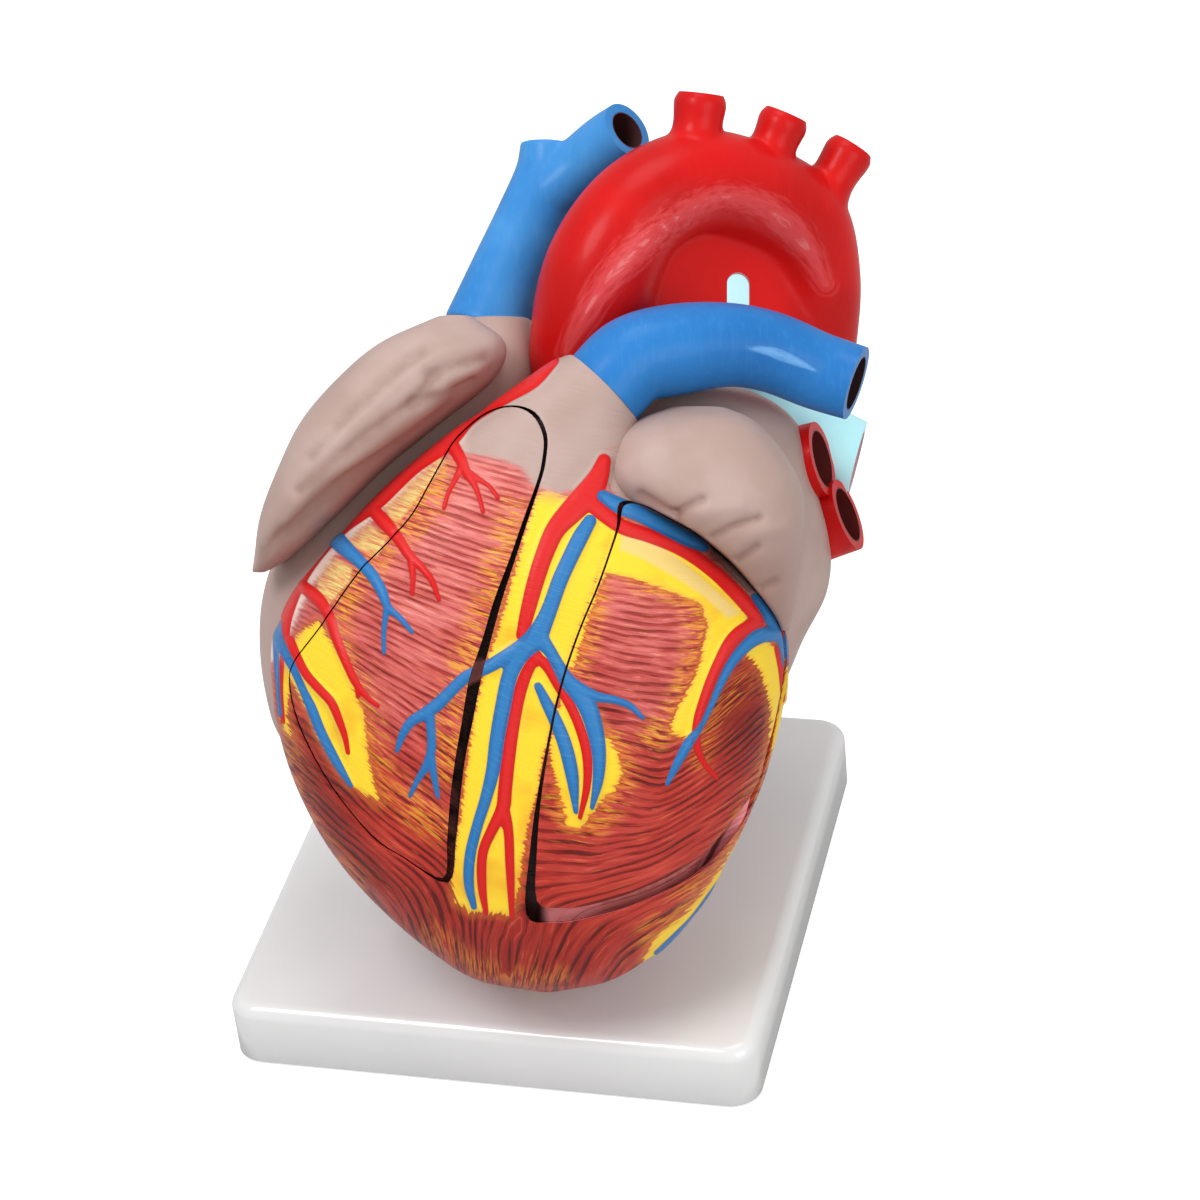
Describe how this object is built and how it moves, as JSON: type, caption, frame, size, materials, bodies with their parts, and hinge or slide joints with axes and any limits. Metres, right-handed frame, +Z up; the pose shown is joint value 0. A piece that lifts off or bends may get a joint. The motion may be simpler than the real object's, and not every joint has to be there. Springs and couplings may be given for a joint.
{
  "type": "anatomical heart model",
  "caption": "Enlarged painted teaching heart leaning on a post over a square stand, with two lift-off chamber walls and the great vessels on top.",
  "frame": {"origin": "middle of the stand's underside, on the resting face of its pad", "axes": "+Z up, -Y towards the viewer's side of the square stand, +X to the viewer's right"},
  "size_m": [0.2931, 0.3413, 0.4],
  "materials": {
    "white_gloss": "gloss",
    "pad": "matt",
    "steel": "satin",
    "nylon": "satin",
    "muscle": "satin paint",
    "beige": "satin paint",
    "red": "gloss paint",
    "blue": "gloss paint",
    "cyan": "satin paint",
    "ivory": "satin"
  },
  "bodies": {
    "stand": {"stand_plate": "white_gloss", "stand_pad": "pad"},
    "post": {"support_post": "steel", "post_washer": "steel", "post_screw": "steel"},
    "heart": {"post_socket": "nylon", "ventricle_shell": "muscle", "ventricle_septum": "muscle", "right_atrium": "beige", "left_atrium": "beige", "right_auricle": "beige", "left_auricle": "beige", "aorta": "red", "pulmonary_trunk": "blue", "superior_vena_cava": "blue", "inferior_vena_cava": "blue", "windpipe": "cyan", "left_pulmonary_vein_upper": "red", "left_pulmonary_vein_lower": "red", "right_pulmonary_vein_upper": "red", "right_pulmonary_vein_lower": "red", "tricuspid_valve": "ivory", "mitral_valve": "ivory", "aortic_valve": "ivory", "pulmonary_valve": "ivory", "right_papillary_muscle_front": "muscle", "right_papillary_muscle_back": "muscle", "left_papillary_muscle_front": "muscle", "left_papillary_muscle_back": "muscle", "right_wall_peg_1": "steel", "right_wall_peg_2": "steel", "right_wall_peg_3": "steel", "left_wall_peg_1": "steel", "left_wall_peg_2": "steel"},
    "right_wall": {"right_ventricle_wall": "muscle"},
    "left_wall": {"left_ventricle_wall": "muscle"}
  },
  "joints": [
    {"name": "post_turn", "type": "hinge", "parent": "stand", "child": "post", "pos_m": [0, 0, 0.035], "axis": [0, 0, 1], "continuous": true},
    {"name": "heart_lift_off", "type": "slide", "parent": "post", "child": "heart", "axis": [0, 0, 1], "range_m": [0, 0.08]},
    {"name": "right_wall_pull", "type": "slide", "parent": "heart", "child": "right_wall", "axis": [0.2329, -0.7812, 0.5793], "range_m": [0, 0.15]},
    {"name": "left_wall_pull", "type": "slide", "parent": "heart", "child": "left_wall", "axis": [0.2329, -0.7812, 0.5793], "range_m": [0, 0.15]}
  ]
}
